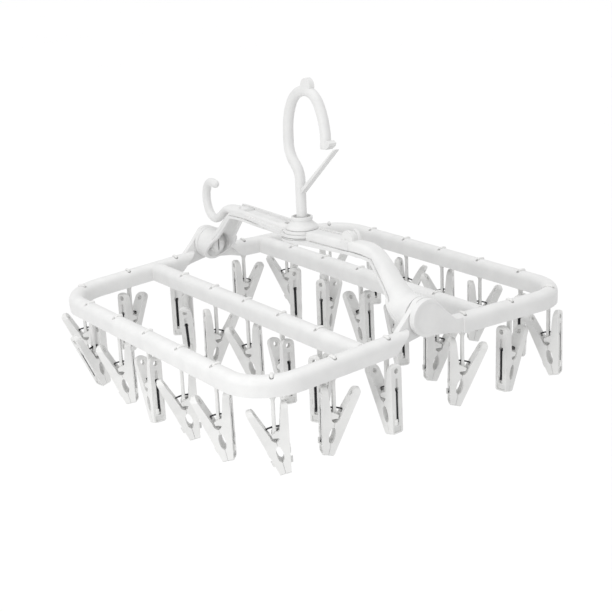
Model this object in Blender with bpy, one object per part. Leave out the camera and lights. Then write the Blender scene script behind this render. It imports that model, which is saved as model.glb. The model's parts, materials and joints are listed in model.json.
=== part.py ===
"""Clip drying hanger: two folding wings hinged under a bridge, a swivel hook and 32 hanging clips.

Lengths in this file are millimetres and become metres in one place, build_mesh. The design frame
has X along the hinge line, Z up, and z = 0 on the crown of a level bar. An empty then moves the
design so that the world origin is the inside top of the hook, where a clothes pole carries it.
"""

import math

import bmesh
import bpy
from mathutils import Matrix, Vector

MM = 0.001
GAP = 0.35                      # clearance between touching pieces

# Driving dimensions
PITCH = 65.0                    # spacing of the clip holes along a long bar
LONG_CLIPS = 5                  # clip holes in each long bar
INNER_Y = 75.5                  # centre line of a wing's inner bar
OUTER_Y = 194.5                 # centre line of a wing's outer bar
SIDE_X = 200.0                  # centre line of a side bar
SIDE_CLIP_Y = (47.8, 111.0)     # straight side bar clips, from the hinge line
CORNER_CLIP_Y = 173.5           # third side clip, just inside the rounded corner
CORNER_R = 45.5                 # centre line radius of the outer corners
NEAR_SAG = math.radians(4.2)    # the near wing hangs this far past level

# Bars: an inverted channel with a domed crown
BAR_W = 16.8
BAR_H = 18.6
BAR_WALL = 2.2
CROWN_FLAT = 3.4                # half width of the nearly flat crown
CROWN_DROP = 2.2                # the dome falls this much at the shoulders
HOLE_R = 2.3

# Hinges
HINGE_Z = 6.2                   # hinge axis above the bar crowns
DISC_R = 18.8
BARREL_END = 193.0              # outer end of a bridge barrel
INNER_EAR = (193.7, 199.6)      # the ear beside the barrel, along X
OUTER_EAR = (200.3, 207.2)      # the outer disc ear, along X
BAR_END_Y = 22.0                # bar end at the crown
BAR_END_SLOPE = 1.12            # and how much further out it ends lower down
PIN_R = 6.0
PIN_INNER = 176.0               # inner end of the pin, along X
PIN_OUTER = 204.0

# Bridge arms
ARM_TOP = 59.4
ARM_BOTTOM = 46.6
ARM_HALF_W = 9.8
ARM_WALL = 2.4
HUB_R = 22.5
HUB_SPLIT = 51.2                # the right arm's disc lies below, the left arm's eye above
EYE_TOP = 58.0
STEM_BORE = 6.1
SKIRT_END = (100.0, 10.4)       # the hub's plates taper along the arms to this X and half width
SKIRT_H = 3.4
SADDLE_X = 87.0                 # the rounded saddle on top of the right arm
SADDLE_Z = 61.0
SADDLE_R = 8.8
THROAT = 176.8                  # under a leg everything below z = THROAT - x is open

# Hook
ROD_R = 5.6
SEAT_X = 9.0                    # inside top of the hook, from the stem axis
STEM_FOOT = 51.0
STEM_TOP = 110.0
GATE_ROOT = (95.5, 105.5)       # where the gate springs from the stem, in Z
GATE_END = (67.0, 151.0)        # its free end, in X and Z

# Clips, measured from the boss that the link hangs them by
NECK_R = 1.35
HEAD_R = 3.5
KNOB_Z = -21.8
BOSS_Z = -57.0
BOSS_R = 1.7
CLIP_DEPTH = 13.4
HANDLE_Z = 26.5
JAW_Z = -39.0
CLIP_LEAN = math.radians(13)    # a clip hangs with its gripping lever plumb, so its jaws lean
WIRE_R = 0.75
STRAP_HALF = 2.5                # half width of the link's strap, along the boss
CHEEK = 3.4                     # thickness of each cheek beside the strap
WIRE_SLOT = (3.0, 5.8)          # the spring's slot, along the boss
BOW_Z = 4.6                     # height of the spring's bow above the boss

WHITE = (0.80, 0.80, 0.79, 1.0)
WIRE = (0.10, 0.10, 0.11, 1.0)


def clear_scene():
    for old in list(bpy.data.objects):
        bpy.data.objects.remove(old, do_unlink=True)


def material(name, colour, roughness, metallic):
    """A plain Principled material."""
    mat = bpy.data.materials.new(name)
    mat.use_nodes = True
    shader = mat.node_tree.nodes["Principled BSDF"]
    shader.inputs["Base Color"].default_value = colour
    shader.inputs["Roughness"].default_value = roughness
    shader.inputs["Metallic"].default_value = metallic
    return mat


# ---------------------------------------------------------------- mesh helpers


def build_mesh(name, points, faces):
    """A mesh from points in millimetres."""
    mesh = bpy.data.meshes.new(name)
    mesh.from_pydata([Vector(p) * MM for p in points], [], faces)
    mesh.update()
    work = bmesh.new()
    work.from_mesh(mesh)
    bmesh.ops.recalc_face_normals(work, faces=work.faces)
    work.to_mesh(mesh)
    work.free()
    return mesh


def loft(rings):
    """Points and faces of a closed solid through rings of equal length, with flat ends."""
    count = len(rings[0])
    points = [p for ring in rings for p in ring]
    faces = []
    for r in range(len(rings) - 1):
        for i in range(count):
            j = (i + 1) % count
            faces.append((r * count + i, r * count + j, (r + 1) * count + j, (r + 1) * count + i))
    last = (len(rings) - 1) * count
    faces.append(tuple(reversed(range(count))))
    faces.append(tuple(range(last, last + count)))
    return points, faces


def prism(outline, low, high, place):
    """Extrudes a 2-D outline from low to high; place maps (a, b, along) to a point."""
    return loft([[place(a, b, t) for a, b in outline] for t in (low, high)])


def along_x(a, b, t):
    return (t, a, b)


def along_y(a, b, t):
    return (a, t, b)


def along_z(a, b, t):
    return (a, b, t)


def circle(cx, cy, radius, count, start=0.0):
    step = 2 * math.pi / count
    return [
        (cx + radius * math.cos(start + i * step), cy + radius * math.sin(start + i * step))
        for i in range(count)
    ]


def arc(cx, cy, radius, first, last, count):
    """Points on an arc between two angles in degrees, both included."""
    out = []
    for i in range(count + 1):
        a = math.radians(first + (last - first) * i / count)
        out.append((cx + radius * math.cos(a), cy + radius * math.sin(a)))
    return out


def turned(profile, count, place):
    """A closed turned solid from (along, radius) pairs."""
    return loft([[place(a, b, t) for a, b in circle(0, 0, r, count)] for t, r in profile])


def tube(path, radius, sides):
    """A rod of constant radius along a path in the XZ plane, given as (x, z)."""
    rings = []
    for i, (x, z) in enumerate(path):
        before = Vector(path[max(i - 1, 0)])
        after = Vector(path[min(i + 1, len(path) - 1)])
        run = (after - before).normalized()
        normal = (-run.y, run.x)
        ring = []
        for k in range(sides):
            a = 2 * math.pi * (k + 0.5) / sides
            out, side = radius * math.cos(a), radius * math.sin(a)
            ring.append((x + normal[0] * out, side, z + normal[1] * out))
        rings.append(ring)
    return loft(rings)


def arcs(start, heading, moves, step=15.0):
    """A smooth (x, z) path: each move is (turn in degrees, radius) or (0, straight length)."""
    points = [start]
    x, z = start
    for turn, size in moves:
        if turn == 0:
            x += size * math.cos(math.radians(heading))
            z += size * math.sin(math.radians(heading))
            points.append((x, z))
            continue
        count = max(1, round(abs(turn) / step))
        side = 1 if turn > 0 else -1
        cx = x - side * size * math.sin(math.radians(heading))
        cz = z + side * size * math.cos(math.radians(heading))
        for i in range(1, count + 1):
            h = math.radians(heading + turn * i / count)
            points.append((cx + side * size * math.sin(h), cz - side * size * math.cos(h)))
        heading += turn
        x, z = points[-1]
    return points


def solid(name, shape):
    """An object from (points, faces)."""
    obj = bpy.data.objects.new(name, build_mesh(name, *shape))
    bpy.context.collection.objects.link(obj)
    return obj


def combine(target, shape, operation):
    """Cuts a shape from the target, or joins it on, with the exact Boolean solver."""
    tool = solid("tool", shape)
    change = target.modifiers.new("change", "BOOLEAN")
    change.operation = operation
    change.solver = "EXACT"
    change.object = tool
    graph = bpy.context.evaluated_depsgraph_get()
    fresh = bpy.data.meshes.new_from_object(target.evaluated_get(graph))
    target.modifiers.clear()
    old = target.data
    target.data = fresh
    bpy.data.meshes.remove(old)
    bpy.data.objects.remove(tool, do_unlink=True)


def add(target, shape):
    combine(target, shape, "UNION")


def cut(target, shape):
    combine(target, shape, "DIFFERENCE")


def mesh_shape(obj):
    """An object's mesh as (points, faces), in millimetres."""
    mesh = obj.data
    return [v.co / MM for v in mesh.vertices], [tuple(f.vertices) for f in mesh.polygons]


def finish(obj, parent=None, mat=None):
    """Welds slivers left by the cuts, shades the round faces smooth and hangs up the piece."""
    work = bmesh.new()
    work.from_mesh(obj.data)
    bmesh.ops.remove_doubles(work, verts=work.verts, dist=0.02 * MM)
    bmesh.ops.dissolve_degenerate(work, edges=work.edges, dist=0.01 * MM)
    bmesh.ops.triangulate(work, faces=work.faces)
    work.to_mesh(obj.data)
    work.free()
    obj.data.shade_smooth()
    obj.data.set_sharp_from_angle(angle=math.radians(35))
    obj.data.materials.clear()
    obj.data.materials.append(mat)
    obj.parent = parent


def empty(name, parent, place=(0, 0, 0), turn=0.0):
    """An empty on a joint's axis; turn is about X."""
    node = bpy.data.objects.new(name, None)
    bpy.context.collection.objects.link(node)
    node.parent = parent
    node.location = Vector(place) * MM
    node.rotation_euler = (turn, 0, 0)
    return node


# ---------------------------------------------------------------- wings


def bar_section():
    """Outer section of a bar as (across, height), clockwise from the lower left."""
    half = BAR_W / 2
    return [
        (-half, -BAR_H), (-half, -CROWN_DROP - 2.0), (-half + 1.6, -CROWN_DROP + 0.7),
        (-CROWN_FLAT, 0), (CROWN_FLAT, 0),
        (half - 1.6, -CROWN_DROP + 0.7), (half, -CROWN_DROP - 2.0), (half, -BAR_H),
    ]


def hollow_section():
    """The channel inside a bar, open at the bottom."""
    half = BAR_W / 2 - BAR_WALL
    top = -CROWN_DROP - BAR_WALL + 0.9
    return [(-half, -BAR_H - 2), (-half, top - 1.2), (-half + 1.6, top),
            (half - 1.6, top), (half, top - 1.2), (half, -BAR_H - 2)]


def wing_route(end_y):
    """Plan view of the bar round a wing that lies at +Y: (x, y, outward direction)."""
    route = [(SIDE_X, end_y, 0.0)]
    centre_x, centre_y = SIDE_X - CORNER_R, OUTER_Y - CORNER_R
    for start in (0, 90):
        sx = 1 if start == 0 else -1
        for i in range(7):
            a = math.radians(start + 15 * i)
            x = sx * centre_x + CORNER_R * math.cos(a)
            route.append((x, centre_y + CORNER_R * math.sin(a), a))
    route.append((-SIDE_X, end_y, math.pi))
    return route


def swept(section, route, slope):
    """Sweeps a section round a plan route; its two ends lean back by slope."""
    rings = []
    for i, (x, y, a) in enumerate(route):
        ring = []
        for across, height in section:
            px, py = x + across * math.cos(a), y + across * math.sin(a)
            if i in (0, len(route) - 1):
                py -= height * slope
            ring.append((px, py, height))
        rings.append(ring)
    return loft(rings)


def ear_outline():
    """Side view (y, z) of a hinge ear at +Y: the disc and the web that runs into the bar."""
    top = math.degrees(math.acos(0.30))
    out = arc(0, HINGE_Z, DISC_R, top, 285, 16)
    return out + [(26, -BAR_H + 4), (40, -BAR_H + 0.4), (42, -CROWN_DROP - 2.6), (36, -3.0)]


def clip_holes():
    """Crown points of one wing's sixteen holes at +Y, each with its bar's direction."""
    middle = (LONG_CLIPS - 1) / 2
    places = []
    for y in (OUTER_Y, INNER_Y):
        places += [((i - middle) * PITCH, y) for i in range(LONG_CLIPS)]
    corner_y = OUTER_Y - CORNER_R
    corner_x = SIDE_X - CORNER_R + math.sqrt(CORNER_R**2 - (CORNER_CLIP_Y - corner_y) ** 2)
    for side in (-1, 1):
        places += [(side * SIDE_X, y) for y in SIDE_CLIP_Y]
        places.append((side * corner_x, CORNER_CLIP_Y))
    return places


def wing(name, hinge, mat, side):
    """One wing; side is +1 for the far wing. Its outer disc ear is at x = +side."""
    body = solid(name, swept(bar_section(), wing_route(BAR_END_Y), BAR_END_SLOPE))
    inner = [(INNER_Y + a, b) for a, b in bar_section()]
    add(body, prism(inner, -SIDE_X, SIDE_X, along_x))
    outer_ear, inner_ear = OUTER_EAR, (-INNER_EAR[1], -INNER_EAR[0])
    cut(body, swept(hollow_section(), wing_route(BAR_END_Y + 18), 0))
    hollow = [(INNER_Y + a, b) for a, b in hollow_section()]
    cut(body, prism(hollow, -SIDE_X, SIDE_X, along_x))
    for x, y in clip_holes():
        cut(body, prism(circle(x, y, HOLE_R, 8), -9, 3, along_z))
    for low, high in (outer_ear, inner_ear):
        add(body, prism(ear_outline(), low, high, along_x))
    socket = [(a, b + HINGE_Z) for a, b in circle(0, 0, PIN_R + GAP, 16)]
    cut(body, prism(socket, outer_ear[0] - 1, PIN_OUTER + GAP, along_x))
    cut(body, prism(socket, inner_ear[0] - 1, inner_ear[1] + 1, along_x))
    if side < 0:
        body.data.transform(Matrix.Rotation(math.pi, 4, "Z"))
    body.data.transform(Matrix.Translation((0, 0, -HINGE_Z * MM)))
    finish(body, hinge, mat)


# ---------------------------------------------------------------- bridge


def skirt(radius, low, high):
    """A flat plate round the hub that tapers along the arm to the arm's own width."""
    end_x, end_y = SKIRT_END
    touch = math.degrees(math.atan2(end_y, end_x) + math.acos(radius / math.hypot(end_x, end_y)))
    outline = arc(0, 0, radius, touch, 360 - touch, 24) + [(end_x, -end_y), (end_x, end_y)]
    return prism(outline, low, high, along_z)


def arm_sections(inset, top_inset, bottom_extra):
    """Rings of an arm from the hub to the barrel. Each station is (x, top z, half width)."""
    stations = [
        (14, ARM_TOP, ARM_HALF_W), (60, ARM_TOP + 0.4, ARM_HALF_W), (112, ARM_TOP + 1.0, ARM_HALF_W),
        (124, 59.6, 10.0), (134, 56.0, 10.3), (143, 50.4, 10.9), (152, 42.4, 11.8),
        (161, 33.2, 13.6), (167, 28.4, 16.2), (172, 26.0, 18.0), (178, HINGE_Z + DISC_R - 0.6, 18.5),
    ]
    rings = []
    for x, top, half in stations:
        half -= inset
        top -= top_inset
        low = min(ARM_BOTTOM, THROAT - x) - bottom_extra
        low = max(low, HINGE_Z - 13)
        edge = min(4.0, (top - low) * 0.3)
        rings.append([
            (x, -half, low), (x, -half, top - edge), (x, -half + edge * 0.7, top - edge * 0.3),
            (x, -half + edge * 1.6, top), (x, half - edge * 1.6, top),
            (x, half - edge * 0.7, top - edge * 0.3), (x, half, top - edge), (x, half, low),
        ])
    return rings


def arm(name, parent, mat, left):
    """One half of the bridge, built at +X and turned round for the left one."""
    body = solid(name, loft(arm_sections(0, 0, 0)))
    barrel = [(a, b + HINGE_Z) for a, b in circle(0, 0, DISC_R, 28)]
    add(body, prism(barrel, 160, BARREL_END, along_x))
    # the open throat under the leg: everything below a 45 degree plane is cut away
    throat = [(90, ARM_BOTTOM), (THROAT - ARM_BOTTOM, ARM_BOTTOM), (188.5, THROAT - 188.5),
              (188.5, -60), (90, -60)]
    cut(body, prism(throat, -40, 40, along_y))
    if left:
        hub = circle(0, 0, HUB_R - 1.5, 28)
        add(body, prism(hub, HUB_SPLIT + GAP, EYE_TOP, along_z))
        add(body, skirt(HUB_R - 0.8, HUB_SPLIT + GAP, HUB_SPLIT + GAP + SKIRT_H))
        cut(body, prism(circle(0, 0, HUB_R + 2.5, 28), 30, HUB_SPLIT, along_z))
        cut(body, prism(circle(0, 0, 18.6, 28), EYE_TOP, 70, along_z))
    else:
        add(body, skirt(HUB_R, ARM_BOTTOM, ARM_BOTTOM + SKIRT_H))
        add(body, prism(circle(0, 0, HUB_R - 0.6, 28), ARM_BOTTOM, HUB_SPLIT - GAP, along_z))
        cut(body, prism(circle(0, 0, HUB_R + 2.0, 28), HUB_SPLIT - GAP, 80, along_z))
    # hollow underside, open at the bottom and towards the middle
    rings = arm_sections(ARM_WALL, ARM_WALL, 6)[1:]
    rings[0] = [(27, y, z) for x, y, z in rings[0]]
    cut(body, loft(rings))
    bore = [(a, b + HINGE_Z) for a, b in circle(0, 0, DISC_R - 3.0, 24)]
    cut(body, prism(bore, 158, BARREL_END - 6, along_x))
    boss = [(a, b + HINGE_Z) for a, b in circle(0, 0, PIN_R + 3.2, 20)]
    add(body, prism(boss, 178.5, BARREL_END - 1, along_x))
    pin_bore = [(a, b + HINGE_Z) for a, b in circle(0, 0, PIN_R + GAP, 16)]
    cut(body, prism(pin_bore, 150, BARREL_END + 1, along_x))
    cut(body, prism(circle(0, 0, STEM_BORE, 20), 30, 80, along_z))
    if left:
        body.data.transform(Matrix.Rotation(math.pi, 4, "Z"))
        # the crown runs on past the leg, narrows and becomes the rod of the J-shaped side hook
        crest = [(-100, -9.5), (-100, 9.5), (-127, 9.5), (-143, 4.6), (-143, -4.6), (-127, -9.5)]
        add(body, prism(crest, 50.2, ARM_TOP - 0.2, along_z))
        j_bends = [(0, 21), (31, 22), (0, 23), (-84, 15), (-64, 28), (-72, 13), (0, 5)]
        j_route = arcs((-120, 54.0), 180, j_bends, 13)
        add(body, tube(j_route, 5.5, 12))
    else:
        cut(body, turned([(44, 10.4), (HUB_SPLIT - 1.6, 10.4)], 20, along_z))
        saddle = arc(SADDLE_X, SADDLE_Z, SADDLE_R, 0, 180, 14)
        foot = [(SADDLE_X - SADDLE_R, ARM_TOP - 1.0), (SADDLE_X + SADDLE_R, ARM_TOP - 1.0)]
        add(body, prism(saddle + foot, -5.5, 5.5, along_y))
    finish(body, parent, mat)


def swivel_boss(parent, mat):
    """The conical bearing on the hub that the stem turns in."""
    profile = [(EYE_TOP + GAP, 17.4), (61.2, 16.6), (64.5, 12.6), (67.4, 10.6), (67.6, 11.4), (71.4, 11.0)]
    body = solid("swivel_boss", turned(profile, 28, along_z))
    cut(body, prism(circle(0, 0, STEM_BORE, 20), 40, 90, along_z))
    finish(body, parent, mat)


def hinge_pin(name, parent, mat, side):
    """A split snap pin: a stepped shank with a slot across its inner end."""
    profile = [(PIN_INNER, PIN_R - 1.0), (PIN_INNER + 1.2, PIN_R + 1.2), (178.1, PIN_R + 1.2),
               (178.2, PIN_R), (PIN_OUTER, PIN_R)]
    body = solid(name, turned(profile, 16, along_x))
    cut(body, prism([(-0.9, -9), (0.9, -9), (0.9, 9), (-0.9, 9)], PIN_INNER - 2, PIN_INNER + 9, along_x))
    if side < 0:
        body.data.transform(Matrix.Rotation(math.pi, 4, "Z"))
    finish(body, parent, mat)


# ---------------------------------------------------------------- hook


def hook_route():
    """Centre line of the hook: stem, S-bend to the left, egg-shaped crook, tip on the right."""
    bend = [(46, 20), (0, 6), (-47, 27), (0, 12), (-28, 62), (-70, 31), (-50, 25), (-32, 70), (0, 5)]
    return arcs((0, STEM_TOP), 90, bend, 12)


def swivel_hook(parent, mat):
    route = [(0, STEM_FOOT)] + hook_route()
    body = solid("swivel_hook", tube(route, ROD_R, 12))
    top = max(route, key=lambda p: p[1])
    add(body, prism(circle(top[0] + 5, top[1] + 5.5, 8.0, 16), -4.4, 4.4, along_y))
    tip = route[-1]
    lip = [(tip[0] - 4, tip[1] + 4.6), (tip[0] - 4, tip[1] - 2), (tip[0] + 5, tip[1] - 1.6),
           (tip[0] + 11, tip[1] + 2.6), (tip[0] + 12, tip[1] + 5.6), (tip[0] + 8, tip[1] + 8.0)]
    add(body, prism(lip, -4.6, 4.6, along_y))
    finish(body, parent, mat)


def hook_gate(hinge, mat):
    """The springy plate across the hook's mouth; its hinge is where it springs from the stem."""
    x, z = GATE_END[0] - ROD_R - GAP, GATE_END[1] - GATE_ROOT[0]
    outline = [(0, 0), (x + 0.5, z - 1.8), (x, z), (0, GATE_ROOT[1] - GATE_ROOT[0])]
    finish(solid("hook_gate", prism(outline, -4.4, 4.4, along_y)), hinge, mat)


def stem_retainer(parent, mat):
    """The washer on the stem's foot that carries the hub, let into its underside."""
    profile = [(ARM_BOTTOM + 0.4, 8.2), (HUB_SPLIT - 1.6 - GAP, 10.4 - GAP)]
    finish(solid("stem_retainer", turned(profile, 20, along_z)), parent, mat)


# ---------------------------------------------------------------- clips


def lever_outline(seam):
    """Side view of one lever, from the boss; seam is the jaw face's distance from the middle."""
    return [
        (13.0, HANDLE_Z), (4.6, 0.6), (3.6, -3.6), (seam, -7.6), (seam, -15.5),
        (3.0, -18.2), (3.2, -22.5), (seam, -26.8), (seam, JAW_Z), (5.2, JAW_Z),
        (19.5, HANDLE_Z), (18.2, HANDLE_Z + 2.6), (14.4, HANDLE_Z + 2.8),
    ]


def lever(side, seam=GAP / 2):
    outline = [(side * a, b) for a, b in lever_outline(seam)]
    return prism(outline, -CLIP_DEPTH / 2, CLIP_DEPTH / 2, along_y)


def link(foot):
    """Hanging link: head on the bar's crown, neck, knob under the bar, strap down to foot."""
    rise = -BOSS_Z

    def ring(z, half_x, half_y):
        return [(a * half_x, b * half_y, z + rise) for a, b in circle(0, 0, 1, 6)]

    rings = [ring(2.4, HEAD_R * 0.8, HEAD_R * 0.8), ring(0.8, HEAD_R, HEAD_R),
             ring(0.79, NECK_R, NECK_R), ring(KNOB_Z + 3, NECK_R, NECK_R),
             ring(KNOB_Z, 3.2, 3.2), ring(KNOB_Z - 3, 1.5, STRAP_HALF), ring(foot, 1.5, STRAP_HALF)]
    return loft(rings)


def add_boss(grip):
    """Joins the gripping lever's two cheeks and the boss between them."""
    cheek = [(-9.0, 4.6), (-8.0, -5.6), (-1.6, -2.2), (1.9, -1.2), (1.9, 1.2), (-1.6, 2.6)]
    for low in (-CLIP_DEPTH / 2, CLIP_DEPTH / 2 - CHEEK):
        add(grip, prism(cheek, low, low + CHEEK, along_y))
    add(grip, prism(circle(0, 0, BOSS_R, 8), 1 - CLIP_DEPTH / 2, CLIP_DEPTH / 2 - 1, along_y))


def spring_wire():
    """Bent wire: a leg down the outside of each lever and a bow above the boss."""
    leg = [(9.2, -26.0), (12.0, -13.0), (15.9, BOW_Z)]
    left = [(-a, b) for a, b in leg]
    return tube(left + leg[::-1], WIRE_R, 6)


def clip_meshes(mat, wire):
    """Shared meshes of the clip's forms, by name, with the boss at the origin."""
    lean = Matrix.Rotation(CLIP_LEAN, 4, "Y")
    grip = solid("grip_lever", lever(-1))
    add_boss(grip)
    grip.data.transform(lean)
    hanging = solid("hanging_half", link(BOSS_Z + 0.6))
    add(hanging, mesh_shape(grip))
    whole = solid("whole_clip", link(BOSS_Z + 0.6))
    pair = solid("closed_pair", lever(-1, -0.2))
    add_boss(pair)
    add(pair, lever(1, -0.2))
    pair.data.transform(lean)
    add(whole, mesh_shape(pair))
    press = solid("press_lever", lever(1))
    press.data.transform(lean)

    strap = solid("link", link(BOSS_Z + 3.0))
    add(strap, prism(circle(0, 0, 3.6, 8), -STRAP_HALF, STRAP_HALF, along_y))
    cut(strap, prism(circle(0, 0, BOSS_R + GAP, 8), -6, 6, along_y))
    slotted_press = solid("slotted_press_lever", lever(1))
    grip.data.transform(lean.inverted())
    for piece in (grip, slotted_press):
        slot = [(-24, BOW_Z - 1.6), (24, BOW_Z - 1.6), (24, BOW_Z + 1.6), (-24, BOW_Z + 1.6)]
        cut(piece, prism(slot, *WIRE_SLOT, along_y))
    spring = solid("spring", spring_wire())
    spring.data.transform(Matrix.Translation((0, sum(WIRE_SLOT) / 2 * MM, 0)))
    for piece in (grip, slotted_press, spring):
        piece.data.transform(lean)

    meshes = {}
    for piece in (grip, hanging, whole, press, strap, slotted_press, spring):
        finish(piece, None, wire if piece is spring else mat)
        meshes[piece.name] = piece.data
    for piece in (grip, hanging, whole, pair, press, strap, slotted_press, spring):
        bpy.data.objects.remove(piece, do_unlink=True)
    return meshes


# Each clip hangs at its own turn about its link, in degrees; the press lever is at local +X.
NEAR_TURNS = (225, 242, 178, 228, 278, 120, 172, 220, 75, 325, 185, 70, 238, 145, 110, 235)
FAR_TURNS = (150, 30, 215, 60, 130, 143, 112, 185, 165, 70, 82, 225, 60, 62, 100, 205)

# Which mesh each node of a clip takes. Far clips are one piece, near clips open, and one near
# clip is modelled fully apart.
FAR_CLIP = {"": "whole_clip"}
NEAR_CLIP = {"": "hanging_half", "_press_lever": "press_lever"}
LOOSE_CLIP = {"_link": "link", "_grip_lever": "grip_lever",
              "_press_lever": "slotted_press_lever", "_spring": "spring"}
LOOSE_CLIP_NUMBER = 13


def hang_clips(label, hinge, sag, side, turns, meshes):
    """Sixteen clips on one wing, each hanging plumb from its hole."""
    for n, ((x, y), turn) in enumerate(zip(clip_holes(), turns), 1):
        crown = Matrix.Rotation(sag, 4, "X") @ Vector((side * x, side * y, -HINGE_Z))
        name = f"{label}_{n:02d}"
        spot = empty(f"{name}_hang", hinge, tuple(crown))
        spot.rotation_euler = (0, 0, math.radians(turn))
        boss = empty(f"{name}_boss", spot, (0, 0, BOSS_Z))
        form = FAR_CLIP if side > 0 else LOOSE_CLIP if n == LOOSE_CLIP_NUMBER else NEAR_CLIP
        for ending, mesh in form.items():
            part = bpy.data.objects.new(name + ending, meshes[mesh])
            bpy.context.collection.objects.link(part)
            part.parent = boss


# ---------------------------------------------------------------- assembly


def main():
    clear_scene()
    plastic = material("white_plastic", WHITE, 0.42, 0.0)
    steel = material("spring_wire", WIRE, 0.35, 1.0)

    route = hook_route()
    seat_z = max(z for x, z in route) - ROD_R
    hang = empty("hang_point", None, (-SEAT_X, 0, -seat_z))
    swivel_hook(hang, plastic)
    hook_gate(empty("gate_hinge", hang, (ROD_R + GAP, 0, GATE_ROOT[0])), plastic)
    stem_retainer(hang, plastic)

    bridge = empty("swivel_axis", hang)
    arm("left_arm", bridge, plastic, True)
    arm("right_arm", bridge, plastic, False)
    swivel_boss(bridge, plastic)

    near_hinge = empty("near_hinge", bridge, (0, 0, HINGE_Z), NEAR_SAG)
    far_hinge = empty("far_hinge", bridge, (0, 0, HINGE_Z))
    wing("near_wing_frame", near_hinge, plastic, -1)
    wing("far_wing_frame", far_hinge, plastic, 1)
    level = empty("hinge_line", bridge, (0, 0, HINGE_Z))
    hinge_pin("left_hinge_pin", level, plastic, -1)
    hinge_pin("right_hinge_pin", level, plastic, 1)

    meshes = clip_meshes(plastic, steel)
    hang_clips("near_clip", level, NEAR_SAG, -1, NEAR_TURNS, meshes)
    hang_clips("far_clip", level, 0.0, 1, FAR_TURNS, meshes)


main()
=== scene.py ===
"""Looks of the clip drying hanger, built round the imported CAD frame.

Lengths are millimetres in the design frame: X along the hinge line, Y across the wings, Z up,
z = 0 on the crown of a level bar and x = y = 0 on the swivel axis. new_object() makes metres of
them, and dress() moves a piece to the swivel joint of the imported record.
"""

import json
import math

import bmesh
import bpy
from mathutils import Matrix, Vector

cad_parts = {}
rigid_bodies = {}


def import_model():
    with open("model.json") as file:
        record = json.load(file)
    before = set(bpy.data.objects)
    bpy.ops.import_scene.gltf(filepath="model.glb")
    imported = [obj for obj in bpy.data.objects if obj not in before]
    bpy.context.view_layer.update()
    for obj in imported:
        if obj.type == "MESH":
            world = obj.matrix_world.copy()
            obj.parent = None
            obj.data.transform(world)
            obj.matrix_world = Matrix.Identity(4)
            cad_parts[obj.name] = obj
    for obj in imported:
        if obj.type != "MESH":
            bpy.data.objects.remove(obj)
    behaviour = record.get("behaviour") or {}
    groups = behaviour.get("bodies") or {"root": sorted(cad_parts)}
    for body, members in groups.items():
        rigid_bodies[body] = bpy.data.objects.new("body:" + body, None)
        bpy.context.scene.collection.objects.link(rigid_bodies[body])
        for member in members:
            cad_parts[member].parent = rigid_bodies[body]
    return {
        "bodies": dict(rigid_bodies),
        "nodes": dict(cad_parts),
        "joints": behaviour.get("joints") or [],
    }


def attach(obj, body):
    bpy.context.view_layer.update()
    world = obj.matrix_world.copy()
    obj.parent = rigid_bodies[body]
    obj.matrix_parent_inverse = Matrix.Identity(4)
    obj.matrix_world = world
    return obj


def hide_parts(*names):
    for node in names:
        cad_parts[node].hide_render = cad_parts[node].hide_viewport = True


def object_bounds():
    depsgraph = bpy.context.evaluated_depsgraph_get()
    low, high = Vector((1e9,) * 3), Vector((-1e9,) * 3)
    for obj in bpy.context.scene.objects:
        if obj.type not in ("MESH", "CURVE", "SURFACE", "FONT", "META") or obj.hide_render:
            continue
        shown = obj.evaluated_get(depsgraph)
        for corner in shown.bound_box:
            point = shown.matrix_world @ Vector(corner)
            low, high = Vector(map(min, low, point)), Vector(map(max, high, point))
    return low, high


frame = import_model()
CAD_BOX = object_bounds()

MM = 0.001
JOINTS = {j["name"]: j for j in frame["joints"]}
ORIGIN = Vector(JOINTS["swivel"]["pos_m"])

# Frame of the hanger
PITCH = 65.0                    # spacing of the clip holes on the long bars
INNER_Y, OUTER_Y, SIDE_X = 75.5, 194.5, 200.0
CORNER_R = 45.5
SIDE_CLIP_Y = (47.8, 111.0)
CORNER_CLIP_Y = 173.5
LONG_BAR_CLIPS = 10             # a wing's first ten clips hang from its two long bars
NEAR_SAG = math.radians(4.2)    # the near wing rests this far below level
BAR_HALF, BAR_H = 8.4, 18.6
BAR_WALL, BAR_ROOF = 2.2, 2.6
DOME_H, DOME_POWER = 8.2, 2.15  # height and superellipse power of a bar's crown
ROOM_H, ROOM_POWER = 3.4, 3.0   # the same for the hollow inside it
SLOT_LENGTH, SLOT_WIDTH, SLOT_DEPTH = 12.4, 4.3, 2.5
NECK_HOLE_R = 2.0

# Hinges
HINGE_Z = 6.2
DISC_R, DISH_RIM, DISH_DEPTH = 18.8, 3.4, 0.7
BARREL_START, BARREL_END = 160.0, 193.0
INNER_EAR = (193.7, 199.6)
OUTER_EAR = (200.3, 207.2)
OUTER_BORE_END = 204.4          # the bore in the outer ear stops short of the dished face
BAR_END_Y, BAR_END_SLOPE = 22.0, 1.12
PIN_R, PIN_GAP = 6.0, 0.3
BARREL_WALL, BOSS_WALL = 3.0, 3.2

# Bridge and hook
ARM_TOP, ARM_BOTTOM, ARM_WALL = 59.4, 46.6, 2.3
ARM_HALF = 9.8
THROAT = 176.8                  # the throat plane is z = THROAT - x
KNEE_X = THROAT - ARM_BOTTOM    # where the arm's flat underside meets the throat plane
ARCH_RISE, ARCH_FROM, ARCH_CREST, ARCH_TO = 2.6, 24.0, 112.0, 150.0
BEAD, BEAD_H = 1.0, 3.2         # how far the bead on an arm's lower edge stands out, and its height
LINE_DEPTH, LINE_H = 0.8, 0.9   # the shadow line above the bead
SKIRT_END, SKIRT_H = (100.0, 10.4), 3.4
SADDLE_X, SADDLE_Z, SADDLE_R = 87.0, 61.0, 8.8
HUB_R, HUB_SPLIT, HUB_GAP = 22.5, 51.2, 0.35
EYE_R, EYE_TOP = 20.1, 58.0     # the upper disc of the left arm's eye
LOWER_DISC_R = 21.6             # the disc on top of the right arm's hub plate
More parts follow.
